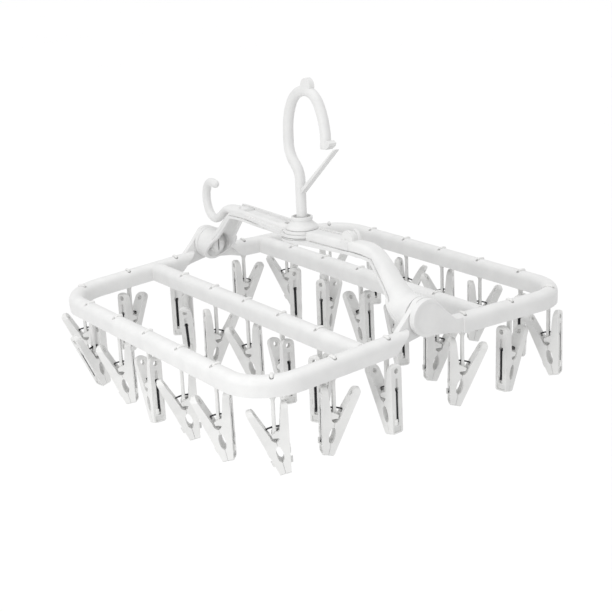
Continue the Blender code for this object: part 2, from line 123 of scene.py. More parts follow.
COLLAR_SEAT_R = 18.2
GROOVE_DEPTH, GROOVE_ARC = 0.9, (26, 154)
EYE_GROOVE_Z, DISC_GROOVE_Z = (54.6, 55.5), (49.4, 50.2)
STEM_BORE = 6.1
ROD_R = 5.6
SIDE_ROD_R, SIDE_ROD_SIDES = 4.9, 24
STEM_FOOT, STEM_TOP = 51.0, 110.0
GATE_ROOT = (97.0, 102.3)
GATE_END = (67.0, 151.0)
GATE_HALF = 3.4

# Stage
AMBIENT = 0.765                 # strength of the white surroundings as a light

# Clips, from the boss
BOSS_Z = -57.0
CLIP_LEAN = math.radians(13)
CLIP_HALF = 6.7
HANDLE_TOP, JAW_Z = 29.3, -39.0
JAW_X = 0.12                    # a lever's jaw face stands this far from the middle
OUTER_FOOT, OUTER_SLOPE = 5.2, 14.3 / 65.5   # its outer face: x = foot + slope * (z - jaw)
BOW_Z, BOW_HALF = 4.6, 1.6      # the slots that the wire's bows pass through
WIRE_R, WIRE_Y = 0.62, 0.66
HEAD_LENGTH, HEAD_WIDTH = 9.4, 3.8
HEAD_SHIFT, SIDE_HEAD_SHIFT = 1.6, 0.25

THROUGH, ARM_THROUGH = 30.0, 40.0   # cutters reach this far to each side
BELOW, ABOVE = 30.0, 80.0           # cutters through the hub reach from here to here


# ---------------------------------------------------------------- meshes


def new_object(name, points, faces):
    """An object from points in millimetres, with its faces turned outwards."""
    mesh = bpy.data.meshes.new(name)
    mesh.from_pydata([Vector(p) * MM for p in points], [], faces)
    work = bmesh.new()
    work.from_mesh(mesh)
    bmesh.ops.recalc_face_normals(work, faces=work.faces)
    work.to_mesh(mesh)
    work.free()
    obj = bpy.data.objects.new(name, mesh)
    bpy.context.scene.collection.objects.link(obj)
    return obj


def loft(rings):
    """Points and faces through rings of equal length, with flat ends."""
    count, last = len(rings[0]), len(rings) - 1
    points = [p for ring in rings for p in ring]
    faces = []
    for r in range(last):
        a, b = r * count, (r + 1) * count
        faces += [(a + i, a + (i + 1) % count, b + (i + 1) % count, b + i) for i in range(count)]
    faces += [tuple(reversed(range(count))), tuple(range(last * count, len(points)))]
    return points, faces


def prism(outline, low, high, axis):
    """Extrudes a 2-D outline from low to high along "x", "y" or "z"."""
    order = {
        "x": lambda a, b, t: (t, a, b),
        "y": lambda a, b, t: (a, t, b),
        "z": lambda a, b, t: (a, b, t),
    }
    return loft([[order[axis](a, b, t) for a, b in outline] for t in (low, high)])


def arc(cx, cy, radius, first, last, count):
    angles = [math.radians(first + (last - first) * i / count) for i in range(count + 1)]
    return [(cx + radius * math.cos(a), cy + radius * math.sin(a)) for a in angles]


def circle(cx, cy, radius, count):
    return arc(cx, cy, radius, 0, 360 * (count - 1) / count, count - 1)


def rectangle(left, right, low, high):
    return [(left, low), (right, low), (right, high), (left, high)]


def stadium(cx, cy, length, width, angle, count=6):
    """A slot outline with round ends, its length along the angle."""
    reach, r, turn = length / 2 - width / 2, width / 2, math.degrees(angle)
    dx, dy = reach * math.cos(angle), reach * math.sin(angle)
    return (arc(cx + dx, cy + dy, r, turn - 90, turn + 90, count)
            + arc(cx - dx, cy - dy, r, turn + 90, turn + 270, count))


def squared(value, power):
    """A sine or cosine bent towards a box: 2 keeps the circle, higher powers are squarer."""
    return math.copysign(abs(value) ** (2 / power), value)


def turned(profile, count, axis="z", centre=(0, 0)):
    """A turned solid from (along, radius) pairs."""
    order = {"x": lambda a, b, t: (t, a, b), "z": lambda a, b, t: (a, b, t)}
    return loft([[order[axis](a, b, t) for a, b in circle(*centre, r, count)] for t, r in profile])


def swept_tube(path, radius, sides):
    """A round rod along 3-D points; radius is a number or one radius for each point."""
    spots = [Vector(p) for p in path]
    radii = radius if isinstance(radius, list) else [radius] * len(spots)
    count = len(spots)
    normal = None
    rings = []
    for i, spot in enumerate(spots):
        run = (spots[min(i + 1, count - 1)] - spots[max(i - 1, 0)]).normalized()
        if normal is None:
            normal = run.cross(Vector((0.13, 1, 0.07))).normalized()
        normal = (normal - run * normal.dot(run)).normalized()
        side = run.cross(normal)
        turns = [2 * math.pi * k / sides for k in range(sides)]
        rings.append([spot + radii[i] * (normal * math.cos(t) + side * math.sin(t)) for t in turns])
    return loft(rings)


def bends(start, heading, moves, step):
    """A smooth (x, z) path: each move is (turn in degrees, radius) or (0, straight length)."""
    points = [start]
    x, z = start
    for turn, size in moves:
        if turn == 0:
            x += size * math.cos(math.radians(heading))
            z += size * math.sin(math.radians(heading))
            points.append((x, z))
            continue
        count = max(2, round(abs(turn) / step))
        side = 1 if turn > 0 else -1
        cx = x - side * size * math.sin(math.radians(heading))
        cz = z + side * size * math.cos(math.radians(heading))
        for i in range(1, count + 1):
            h = math.radians(heading + turn * i / count)
            points.append((cx + side * size * math.sin(h), cz - side * size * math.cos(h)))
        heading += turn
        x, z = points[-1]
    return points


def mirrored(shape):
    """The shape turned half round the Z axis."""
    points, faces = shape
    return [Vector((-p[0], -p[1], p[2])) for p in points], faces


def taken(obj, move=lambda p: p):
    """Points and faces of a temporary object, which is then removed."""
    points = [move(v.co / MM) for v in obj.data.vertices]
    faces = [tuple(f.vertices) for f in obj.data.polygons]
    bpy.data.objects.remove(obj, do_unlink=True)
    return points, faces


def rounded_end(path, radius):
    """Lengthens a tube's path by a dome at its last point: (points, radii)."""
    tip, before = Vector(path[-1]), Vector(path[-2])
    run = (tip - before).normalized()
    points, radii = [Vector(p) for p in path], [radius] * len(path)
    for angle in (25, 45, 62, 76, 86):
        a = math.radians(angle)
        points.append(tip + run * radius * math.sin(a))
        radii.append(radius * math.cos(a))
    return points, radii


def boolean(target, shapes, operation, solver="EXACT"):
    """Cuts shapes from the target or joins them on. Shapes in one call don't overlap."""
    points, faces = [], []
    for shape_points, shape_faces in shapes:
        faces += [tuple(i + len(points) for i in f) for f in shape_faces]
        points += shape_points
    tool = new_object("tool", points, faces)
    change = target.modifiers.new("change", "BOOLEAN")
    change.operation, change.solver, change.object = operation, solver, tool
    bake(target)
    bpy.data.objects.remove(tool, do_unlink=True)


def add(target, *shapes):
    boolean(target, shapes, "UNION")


def cut(target, *shapes):
    boolean(target, shapes, "DIFFERENCE")


def bake(obj):
    """Applies the object's modifiers to its mesh."""
    graph = bpy.context.evaluated_depsgraph_get()
    fresh = bpy.data.meshes.new_from_object(obj.evaluated_get(graph))
    obj.modifiers.clear()
    old, obj.data = obj.data, fresh
    bpy.data.meshes.remove(old)


def weld(obj):
    """Joins points closer than a hundredth of a millimetre."""
    work = bmesh.new()
    work.from_mesh(obj.data)
    bmesh.ops.remove_doubles(work, verts=work.verts, dist=0.01 * MM)
    bmesh.ops.dissolve_degenerate(work, edges=work.edges, dist=0.01 * MM)
    work.to_mesh(obj.data)
    work.free()


def soften(obj, width, segments=2, angle=34):
    """Rounds the sharp edges and shades the round faces smooth."""
    round_edges(obj, width, segments, angle)
    shade(obj)


def round_edges(obj, width, segments, angle=34):
    """Bevels every edge sharper than the angle."""
    work = bmesh.new()
    work.from_mesh(obj.data)
    bmesh.ops.remove_doubles(work, verts=work.verts, dist=0.02 * MM)
    bmesh.ops.dissolve_limit(work, angle_limit=math.radians(1.0),
                             verts=work.verts, edges=work.edges)
    work.to_mesh(obj.data)
    work.free()
    bevel = obj.modifiers.new("round_edges", "BEVEL")
    bevel.width, bevel.segments = width * MM, segments
    bevel.limit_method, bevel.angle_limit = "ANGLE", math.radians(angle)
    bevel.use_clamp_overlap = True
    bevel.miter_outer = "MITER_ARC"
    bake(obj)


def shade(obj):
    """Smooth shading that stays flat on flat faces and breaks at sharp edges."""
    obj.data.shade_smooth()
    obj.data.set_sharp_from_angle(angle=math.radians(42))
    weights = obj.modifiers.new("even_shading", "WEIGHTED_NORMAL")
    weights.keep_sharp = True
    bake(obj)


def dress(obj, material, body, nodes, matrix=None):
    """Puts a finished piece in its place: material, body and replaced CAD nodes."""
    obj.data.materials.clear()
    obj.data.materials.append(material)
    obj.matrix_world = Matrix.Translation(ORIGIN) if matrix is None else matrix
    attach(obj, body)
    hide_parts(*nodes)


# ---------------------------------------------------------------- materials


def noise(nodes, links, coordinates, scale, detail=3.0, roughness=0.55):
    texture = nodes.new("ShaderNodeTexNoise")
    texture.inputs["Scale"].default_value = scale
    texture.inputs["Detail"].default_value = detail
    texture.inputs["Roughness"].default_value = roughness
    links.new(coordinates.outputs["Object"], texture.inputs["Vector"])
    return texture


def ramp(nodes, links, source, low, high):
    """Spreads a noise between two grey levels or colours."""
    node = nodes.new("ShaderNodeValToRGB")
    for element, where, value in zip(node.color_ramp.elements, (0.35, 0.65), (low, high)):
        element.position = where
        element.color = (*value, 1) if isinstance(value, tuple) else (value, value, value, 1)
    links.new(source.outputs["Fac"], node.inputs["Fac"])
    return node


def moulded_plastic(name, light, shade, gloss, grain):
    """Polypropylene: clouded colour, orange-peel bump, scuffs that change its gloss."""
    material = bpy.data.materials.new(name)
    material.use_nodes = True
    nodes, links = material.node_tree.nodes, material.node_tree.links
    shader = nodes["Principled BSDF"]
    shader.inputs["IOR"].default_value = 1.49
    shader.inputs["Subsurface Weight"].default_value = 0.06
    shader.inputs["Subsurface Radius"].default_value = (0.004, 0.004, 0.004)
    where = nodes.new("ShaderNodeTexCoord")
    clouds = ramp(nodes, links, noise(nodes, links, where, 55.0), shade, light)
    links.new(clouds.outputs["Color"], shader.inputs["Base Color"])
    scuffs = noise(nodes, links, where, 420.0, 5.0, 0.7)
    wear = ramp(nodes, links, scuffs, gloss - 0.05, gloss + 0.09)
    links.new(wear.outputs["Color"], shader.inputs["Roughness"])
    peel = nodes.new("ShaderNodeBump")
    peel.inputs["Strength"].default_value = grain
    peel.inputs["Distance"].default_value = 0.0004
    links.new(noise(nodes, links, where, 650.0, 2.0).outputs["Fac"], peel.inputs["Height"])
    links.new(peel.outputs["Normal"], shader.inputs["Normal"])
    return material


def spring_steel(name):
    """Dark drawn wire with fine streaks."""
    material = bpy.data.materials.new(name)
    material.use_nodes = True
    nodes, links = material.node_tree.nodes, material.node_tree.links
    shader = nodes["Principled BSDF"]
    shader.inputs["Metallic"].default_value = 0.85
    where = nodes.new("ShaderNodeTexCoord")
    streaks = noise(nodes, links, where, 900.0, 4.0)
    tone = ramp(nodes, links, streaks, (0.015, 0.015, 0.017), (0.06, 0.06, 0.065))
    links.new(tone.outputs["Color"], shader.inputs["Base Color"])
    rough = ramp(nodes, links, noise(nodes, links, where, 1500.0), 0.30, 0.48)
    links.new(rough.outputs["Color"], shader.inputs["Roughness"])
    return material


# ---------------------------------------------------------------- wings


def dome(half, height, lowest, power=DOME_POWER, steps=7):
    """Section of a bar as (across, z), from its lower left to its lower right corner."""
    left = []
    for i in range(steps):
        t = math.pi / 2 * i / steps
        left.append((-half * math.cos(t) ** (2 / power), height * (math.sin(t) ** (2 / power) - 1)))
    right = [(-a, b) for a, b in reversed(left)]
    return [(-half, lowest)] + left + [(0, 0)] + right + [(half, lowest)]


def wing_route(end_y, steps=12):
    """Plan of the U-shaped bar of a wing at +Y: (x, y, outward direction)."""
    route = [(SIDE_X, end_y, 0.0)]
    for side, start in ((1, 0), (-1, 90)):
        for i in range(steps + 1):
            a = math.radians(start + 90 * i / steps)
            route.append((side * (SIDE_X - CORNER_R) + CORNER_R * math.cos(a),
                          OUTER_Y - CORNER_R + CORNER_R * math.sin(a), a))
    return route + [(-SIDE_X, end_y, math.pi)]


def swept_bar(section, route, slope):
    """Sweeps a section round a plan route; its two ends lean back by slope."""
    rings = []
    for i, (x, y, a) in enumerate(route):
        lean = slope if i in (0, len(route) - 1) else 0
        rings.append([(x + w * math.cos(a), y + w * math.sin(a) - z * lean, z) for w, z in section])
    return loft(rings)


def clip_holes():
    """One wing's sixteen holes at +Y: (x, y, direction across the bar)."""
    places = [((i - 2) * PITCH, y, math.pi / 2) for y in (OUTER_Y, INNER_Y) for i in range(5)]
    rise = CORNER_CLIP_Y - (OUTER_Y - CORNER_R)
    turn = math.asin(rise / CORNER_R)
    corner_x = SIDE_X - CORNER_R + CORNER_R * math.cos(turn)
    for side in (-1, 1):
        places += [(side * SIDE_X, y, 0.0) for y in SIDE_CLIP_Y]
        places.append((side * corner_x, CORNER_CLIP_Y, turn if side > 0 else math.pi - turn))
    return places


def ear(low, high):
    """A hinge ear: disc and the web that runs from it into the bar."""
    outline = arc(0, HINGE_Z, DISC_R, 66, 285, 40)
    outline += [(26, -BAR_H + 4), (40, -BAR_H + 0.4), (42, -5.0), (34, -1.6), (20, 11.0)]
    return prism(outline, low, high, "x")


def wing(name):
    """A wing at +Y, level, with its outer disc ear at +X."""
    bar = dome(BAR_HALF, DOME_H, -BAR_H)
    room = dome(BAR_HALF - BAR_WALL, ROOM_H, -BAR_H, ROOM_POWER, 4)
    room = [(a, b - BAR_ROOF) for a, b in room]
    body = new_object(name, *swept_bar(bar, wing_route(BAR_END_Y), BAR_END_SLOPE))
    add(body, prism([(INNER_Y + a, b) for a, b in bar], 4 - SIDE_X, SIDE_X - 4, "x"))
    cut(body, swept_bar(room, wing_route(BAR_END_Y + 18), 0))
    cut(body, prism([(INNER_Y + a, b) for a, b in room], -SIDE_X, SIDE_X, "x"))
    add(body, ear(*OUTER_EAR), ear(-INNER_EAR[1], -INNER_EAR[0]))
    dish = arc(0, HINGE_Z, DISC_R - DISH_RIM, 48, 292, 34) + [(44, -BAR_H - 3), (44, -1.0)]
    cut(body, prism(dish, OUTER_EAR[1] - DISH_DEPTH, OUTER_EAR[1] + 2, "x"))
    bore = circle(0, HINGE_Z, PIN_R + PIN_GAP, 24)
    cut(body, prism(bore, -INNER_EAR[1] - 1, 1 - INNER_EAR[0], "x"),
        prism(bore, OUTER_EAR[0] - 1, OUTER_BORE_END, "x"))
    round_edges(body, 0.9, 3)
    slots = [prism(stadium(x, y, SLOT_LENGTH, SLOT_WIDTH, a), -SLOT_DEPTH, 3, "z")
             for x, y, a in clip_holes()]
    holes = [prism(circle(x, y, NECK_HOLE_R, 12), -9, 3, "z") for x, y, _ in clip_holes()]
    boolean(body, slots, "DIFFERENCE", "FAST")
    boolean(body, holes, "DIFFERENCE", "FAST")
    shade(body)
    return body


# ---------------------------------------------------------------- bridge


ARM_STATIONS = (                # (x, crown height, half width, superellipse power)
    (10, ARM_TOP, ARM_HALF, 5.0), (60, ARM_TOP + 0.3, ARM_HALF, 5.0),
    (98, ARM_TOP + 0.6, ARM_HALF, 4.6), (108, ARM_TOP + 0.9, ARM_HALF, 4.2),
    (116, 60.3, ARM_HALF, 4.0), (122, 59.6, 9.9, 3.8), (128, 58.2, 10.1, 3.6),
    (134, 55.4, 10.3, 3.4), (140, 51.9, 10.6, 3.2), (146, 47.8, 11.1, 3.0),
    (152, 42.6, 11.7, 2.9), (158, 36.6, 12.6, 2.7), (163, 31.6, 14.0, 2.5),
    (168, 27.8, 16.4, 2.3), (172, 25.9, 18.0, 2.15), (178, HINGE_Z + DISC_R - 0.1, 18.7, 2.0),
)


def arm_rings(inset, drop, low_extra, steps=10):
    """Rings of an arm: a superellipse crown that turns from a box at the hub to a barrel."""
    rings = []
    for x, top, half, power in ARM_STATIONS:
        foot = max(min(ARM_BOTTOM, THROAT - x), HINGE_Z)
        spring = min(foot + 0.001, top - 6)
        half, rise = half - inset, top - drop - spring
        crown = []
        for i in range(2 * steps + 1):
            t = math.pi * i / (2 * steps)
            across, up = squared(math.cos(t), power), squared(math.sin(t), power)
            crown.append((x, half * across, spring + rise * up))
        low = min(foot, spring) - low_extra
        rings.append([(x, half, low - 0.5)] + crown + [(x, -half, low - 0.5)])
    return rings


def skirt(radius, low, high):
    """A flat plate round the hub that tapers along the arm to the arm's own width."""
    end_x, end_y = SKIRT_END
    touch = math.degrees(math.atan2(end_y, end_x) + math.acos(radius / math.hypot(end_x, end_y)))
    outline = arc(0, 0, radius, touch, 360 - touch, 44) + [(end_x, -end_y), (end_x, end_y)]
    return prism(outline, low, high, "z")


def flange():
    """The bead along the arm's lower edge and round the mouth of its throat."""
    band = new_object("flange", *loft(arm_rings(-BEAD, -BEAD, 0)))
    collar = circle(0, HINGE_Z, DISC_R + 0.6, 56)
    add(band, prism(collar, BARREL_START, BARREL_END - 4, "x"))
    top = ARM_BOTTOM + BEAD_H
    slab = [(60, ARM_BOTTOM), (KNEE_X, ARM_BOTTOM), (182, THROAT - 182), (184, THROAT - 179.4),
            (KNEE_X + 1.4, top), (60, top)]
    boolean(band, [prism(slab, -THROUGH, THROUGH, "y")], "INTERSECT")
    return taken(band)


def arch(x):
    """How far the bridge rises above a straight line, from the hub to its shoulders."""
    rise = ARCH_RISE * (x - ARCH_FROM) / (ARCH_CREST - ARCH_FROM)
    fall = ARCH_RISE * (ARCH_TO - x) / (ARCH_TO - ARCH_CREST)
    return max(0, min(rise, fall))


def arm_line():
    """Cutter of the shadow line above the bead, down to the inner edge of the leg."""
    line = new_object("line", *loft(arm_rings(-3, -3, 0)))
    cut(line, loft(arm_rings(LINE_DEPTH, LINE_DEPTH, 3)))
    low, high = ARM_BOTTOM + BEAD_H, ARM_BOTTOM + BEAD_H + LINE_H
    slab = [(27, low), (KNEE_X + 1.4, low), (166, THROAT - 161.4), (166, THROAT - 159.9),
            (KNEE_X + 2.0, high), (27, high)]
    boolean(line, [prism(slab, -THROUGH, THROUGH, "y")], "INTERSECT")
    return taken(line, lambda p: p + Vector((0, 0, arch(p.x))))


def hub_grooves(radius, low, high):
    """Cutters of the grooves round the near and far sides of the hub."""
    first, last = GROOVE_ARC
    inner, outer = radius - GROOVE_DEPTH, radius + 3
    rings = []
    for i in range(31):
        a = math.radians(first + (last - first) * i / 30)
        rings.append([(r * math.cos(a), r * math.sin(a), z)
                      for r, z in ((inner, low), (outer, low), (outer, high), (inner, high))])
    far = loft(rings)
    return mirrored(far), far


def saddle():
    """Parts of the rounded saddle on the right arm: its waist, then the rims at its two ends."""
    def half_disc(radius, low, high):
        outline = arc(SADDLE_X, SADDLE_Z, radius, 0, 180, 24)
        outline += [(SADDLE_X - radius, ARM_TOP - 1), (SADDLE_X + radius, ARM_TOP - 1)]
        return prism(outline, low, high, "y")

    waist = half_disc(SADDLE_R - 1.6, -5.0, 5.0)
    return waist, (half_disc(SADDLE_R, -5.6, -2.6), half_disc(SADDLE_R, 2.6, 5.6))


def left_hub(body):
    """The upper eye, with the seat of the swivel's collar."""
    foot = HUB_SPLIT + HUB_GAP
    add(body, prism(circle(0, 0, EYE_R, 56), foot, EYE_TOP, "z"))
    add(body, skirt(HUB_R - 0.8, foot, foot + SKIRT_H))
    cut(body, prism(circle(0, 0, HUB_R + 2.5, 56), BELOW, HUB_SPLIT, "z"))
    cut(body, prism(circle(0, 0, COLLAR_SEAT_R, 56), EYE_TOP, EYE_TOP + 12, "z"))


def right_hub(body):
    """The lower plate, cleared for the upper eye."""
    top = HUB_SPLIT - HUB_GAP
    add(body, skirt(HUB_R, ARM_BOTTOM, ARM_BOTTOM + SKIRT_H))
    add(body, prism(circle(0, 0, LOWER_DISC_R, 56), ARM_BOTTOM, top, "z"))
    cut(body, prism(circle(0, 0, HUB_R - 0.3, 56), top, ABOVE, "z"))


def hollow(body, extra_roof):
    """Opens the arm from below and bores its barrel and its hub."""
    rings = arm_rings(ARM_WALL, ARM_WALL + extra_roof, 6)[1:]
    rings[0] = [(27, y, z) for x, y, z in rings[0]]
    cut(body, loft(rings))
    barrel = circle(0, HINGE_Z, DISC_R - BARREL_WALL, 48)
    cut(body, prism(barrel, BARREL_START - 2, BARREL_END - 6, "x"))
    add(body, prism(circle(0, HINGE_Z, PIN_R + BOSS_WALL, 32), 178.5, BARREL_END - 1, "x"))
    cut(body, prism(circle(0, HINGE_Z, PIN_R + PIN_GAP, 32), 150, BARREL_END + 1, "x"))
    cut(body, prism(circle(0, 0, STEM_BORE, 40), BELOW, ABOVE, "z"))


def left_top(body):
    """A raised rim along one edge, a long shallow bed and the deeper one beside the hub."""
    rim = [(22, -9.7), (126, -9.7), (132, -8.4), (126, -7.2), (22, -7.2)]
    add(body, prism(rim, ARM_TOP - 4, ARM_TOP + 1.3, "z"))
    cut(body, prism(stadium(74, 0.35, 88, 14.7, 0, 8), ARM_TOP - 2.4, ABOVE, "z"))
    add(body, prism(stadium(20, 0.35, 26, 13.0, 0, 10), ARM_TOP - 5, ARM_TOP - 0.9, "z"))
    cut(body, prism(stadium(19, 0.35, 21, 8.4, 0, 8), ARM_TOP - 3.6, ABOVE, "z"))
    cut(body, prism(circle(0, 0, COLLAR_SEAT_R, 56), EYE_TOP, ABOVE, "z"))


def right_top(body):
    """A short raised rim and the saddle with the disc on its near side."""
    rim = [(26, 9.7), (78, 9.7), (78, 7.6), (26, 7.6)]
    add(body, prism(rim, ARM_TOP - 3, ARM_TOP + 1.0, "z"))
    waist, rims = saddle()
    add(body, waist)
    add(body, *rims)
    add(body, prism(circle(SADDLE_X, SADDLE_Z - 7.4, 7.2, 36), -10.3, -4, "y"))


def arm(name, left):
    """One half of the bridge, built at +X and turned round for the left one."""
    body = new_object(name, *loft(arm_rings(0, 0, 0)))
    add(body, prism(circle(0, HINGE_Z, DISC_R, 56), BARREL_START, BARREL_END, "x"))
    throat = [(90, ARM_BOTTOM), (KNEE_X, ARM_BOTTOM), (188.5, THROAT - 188.5), (188.5, -60),
              (90, -60)]
    cut(body, prism(throat, -ARM_THROUGH, ARM_THROUGH, "y"))
    cut(body, prism(rectangle(-5, 95, BELOW, ARM_BOTTOM), -ARM_THROUGH, ARM_THROUGH, "y"))
    add(body, flange())
    if left:
        left_hub(body)
        hollow(body, 2.6)
        left_top(body)
        body.data.transform(Matrix.Rotation(math.pi, 4, "Z"))
        line, grooves = mirrored(arm_line()), hub_grooves(EYE_R, *EYE_GROOVE_Z)
    else:
        right_hub(body)
        hollow(body, 0)
        right_top(body)
        line, grooves = arm_line(), hub_grooves(LOWER_DISC_R, *DISC_GROOVE_Z)
    for vertex in body.data.vertices:
        vertex.co.z += arch(abs(vertex.co.x) / MM) * MM
    round_edges(body, 0.8, 3)
    weld(body)
    cut(body, line)
    cut(body, *grooves)
    shade(body)
    return body


def side_hook():
    """The J-shaped side hook: the left arm's crown runs on past the leg and narrows to its rod."""
    moves = [(0, 20), (0, 17), (31, 22), (0, 12), (0, 11), (-84, 15), (-64, 28), (-72, 13), (0, 5)]
    route = bends((-104, 55.2), 180, moves, 7)
    path, radii = rounded_end([(x, 0, z) for x, z in route], SIDE_ROD_R)
    body = new_object("side_hook", *swept_tube(path, radii, SIDE_ROD_SIDES))
    broad_rings, broad_z = 12, 36.0
    narrow_x, run, widening = 174.0, 30.0, 0.95
    for vertex in body.data.vertices:
        x = -vertex.co.x / MM
        if vertex.index < SIDE_ROD_SIDES * broad_rings and vertex.co.z > broad_z * MM:
            share = max(0, min(1, (narrow_x - x) / run))
            vertex.co.y *= 1 + widening * share * share * (3 - 2 * share)
        vertex.co.z += arch(x) * MM
    body.data.shade_smooth()
    return body


def swivel_collar():
    """The conical bearing and its collar ring."""
    profile = [(EYE_TOP + 0.35, 17.4), (60.0, 17.3), (61.6, 16.4), (63.2, 14.2), (64.8, 12.4),
               (66.4, 11.2), (67.6, 10.9), (67.9, 11.6), (70.9, 11.6), (71.4, 11.0)]
    cup_r, cup_low, below, above = 9.4, 66.4, 40, 90
    body = new_object("swivel_collar", *turned(profile, 56))
    cut(body, prism(circle(0, 0, STEM_BORE, 40), below, above, "z"))
    cut(body, prism(circle(0, 0, cup_r, 40), cup_low, above, "z"))
    soften(body, 0.35)
    return body


def split_pin(name, side):
    """A hinge pin with the slit that lets its head snap through the barrel."""
    profile = [(176.0, 5.0), (177.2, 7.2), (178.1, 7.2), (178.2, PIN_R), (204.0, PIN_R)]
    body = new_object(name, *turned(profile, 32, "x", (0, HINGE_Z)))
    cut(body, prism(rectangle(-0.9, 0.9, HINGE_Z - 9, HINGE_Z + 9), 174, 185, "x"))
    if side < 0:
        body.data.transform(Matrix.Rotation(math.pi, 4, "Z"))
    soften(body, 0.4)
    return body


# ---------------------------------------------------------------- hook


def hook():
    """Stem, S-bend and crook of one round rod, with a fin on its crown and a flared lip."""
    moves = [(46, 20), (0, 6), (-47, 27), (0, 12), (-28, 62), (-70, 31), (-50, 25), (-32, 70),
             (0, 5)]
    route = [(0, STEM_FOOT)] + bends((0, STEM_TOP), 90, moves, 6)
    body = new_object("hook", *swept_tube([(x, 0, z) for x, z in route], ROD_R, 24))
    top = max(route, key=lambda p: p[1])
    add(body, prism(circle(top[0] + 5, top[1] + 5.5, 8.0, 32), -3.2, 3.2, "y"))
    tip = route[-1]
    lip = [(tip[0] - 4, tip[1] + 4.6), (tip[0] - 4, tip[1] - 2), (tip[0] + 5, tip[1] - 1.6),
           (tip[0] + 11, tip[1] + 2.6), (tip[0] + 12, tip[1] + 5.6), (tip[0] + 8, tip[1] + 8.0)]
    add(body, prism(lip, -4.6, 4.6, "y"))
    soften(body, 0.9, 3, 30)
    return body


def gate():
    """The springy plate that closes the hook's mouth."""
    x, z = GATE_END
    foot_x = ROD_R + 0.3
    outline = [(foot_x, GATE_ROOT[0]), (x - 1.2, z - 1.8), (x - 0.4, z - 1.0), (x - 0.4, z - 0.2),
               (x - 1.6, z), (foot_x, GATE_ROOT[1])]
    body = new_object("gate_leaf", *prism(outline, -GATE_HALF, GATE_HALF, "y"))
    soften(body, 0.6)
    return body


# ---------------------------------------------------------------- clips


def outer_face(z):
    return OUTER_FOOT + OUTER_SLOPE * (z - JAW_Z)


def outer_band(side, low, high, depth, proud):
    """Outline along a lever's outer face, from depth inside it to proud of it."""
    corners = ((low, -depth), (low, proud), (high, proud), (high, -depth))
    return [(side * (outer_face(z) + d), z) for z, d in corners]


def lever_blank(name, side):
    """The plain lever: a wedge with an oval jaw, trimmed to its rounded face."""
    steps = (-8, -7.4, -6, -3.6, 0, 3.6, 6, 7.4, 8)
    oval = [(JAW_X + 3.2 * math.sqrt(1 - (t / 8) ** 2), -18.6 - t) for t in steps]
    neck = [(13.2, HANDLE_TOP - 3), (4.6, 0.6), (3.9, -3.2), (2.2, -5.4), (JAW_X, -6.4)]
    shoulder = outer_face(26.6)
    back = [(JAW_X, JAW_Z), (OUTER_FOOT, JAW_Z), (shoulder, 26.6), (shoulder - 1.4, HANDLE_TOP),
            (14.6, HANDLE_TOP)]
    outline = [(side * a, b) for a, b in neck + oval + back]
    body = new_object(name, *prism(outline, -CLIP_HALF, CLIP_HALF, "y"))
    half = CLIP_HALF - 0.05
    face = arc(0, HANDLE_TOP - CLIP_HALF, half, 0, 180, 20)
    face += [(-half, JAW_Z + 1.6), (1.6 - CLIP_HALF, JAW_Z), (CLIP_HALF - 1.6, JAW_Z),
             (half, JAW_Z + 1.6)]
    boolean(body, [prism(face, -THROUGH, THROUGH, "x")], "INTERSECT")
    return body


def lever(name, side):
    """A clip lever: side +1 is the press lever, -1 the gripping lever with the boss."""
    body = lever_blank(name, side)
    if side < 0:
        cheek = [(-9.0, 4.6), (-8.0, -5.6), (-1.6, -2.4), (2.4, -1.6), (2.6, 1.6), (-1.6, 3.0)]
        add(body, prism(cheek, -CLIP_HALF + 0.4, -3.3, "y"),
            prism(cheek, 3.3, CLIP_HALF - 0.4, "y"))
        add(body, prism(circle(0, 0, 1.7, 12), 1 - CLIP_HALF, CLIP_HALF - 1, "y"))
    cut(body, prism(outer_band(side, -31, 15, 1.9, 4), -1.55, 1.55, "y"))
    cut(body, prism(outer_band(side, -37.6, -32.4, 1.5, 4), -4.6, 4.6, "y"))
    cut(body, prism(circle(0, HANDLE_TOP - CLIP_HALF - 0.2, 2.6, 20), -THROUGH, THROUGH, "x"))
    bow_slot = rectangle(0, side * 30, BOW_Z - BOW_HALF, BOW_Z + BOW_HALF)
    cut(body, prism(bow_slot, -2.2, 2.2, "y"))
    rib = outer_band(side, -20, -15, 1.0, 0.7)
    add(body, prism(outer_band(side, -30.0, -24.5, 1.6, 2.2), 1.4, 3.6, "y"),
        prism(rib, -4.6, -3.3, "y"), prism(rib, 3.8, 5.0, "y"))
    soften(body, 0.35)
    return body


def clip_spring(name, side):
    """One lever's half of the wire: over the boss, then down and up the lever's groove."""
    bow = ((0, 7.1), (4.0, 6.8), (8.0, 6.0), (11.5, 4.9))
    groove = ((3.4, WIRE_Y, 0.9), (1.0, WIRE_Y, 0.7), (-4, WIRE_Y, 0.9), (-12, WIRE_Y, 0.95),
              (-22, 0.62, 0.9), (-26.2, 0.62, 0.5), (-27.6, 0.35, -0.5))
    run = [(x, WIRE_Y, z) for x, z in bow]
    run += [(outer_face(z) - inset, y, z) for z, y, inset in groove]
    run += [(x, -y, z) for x, y, z in reversed(run)]
    body = new_object(name, *swept_tube([(side * x, y, z) for x, y, z in run], WIRE_R, 8))
    body.data.shade_smooth()
    return body


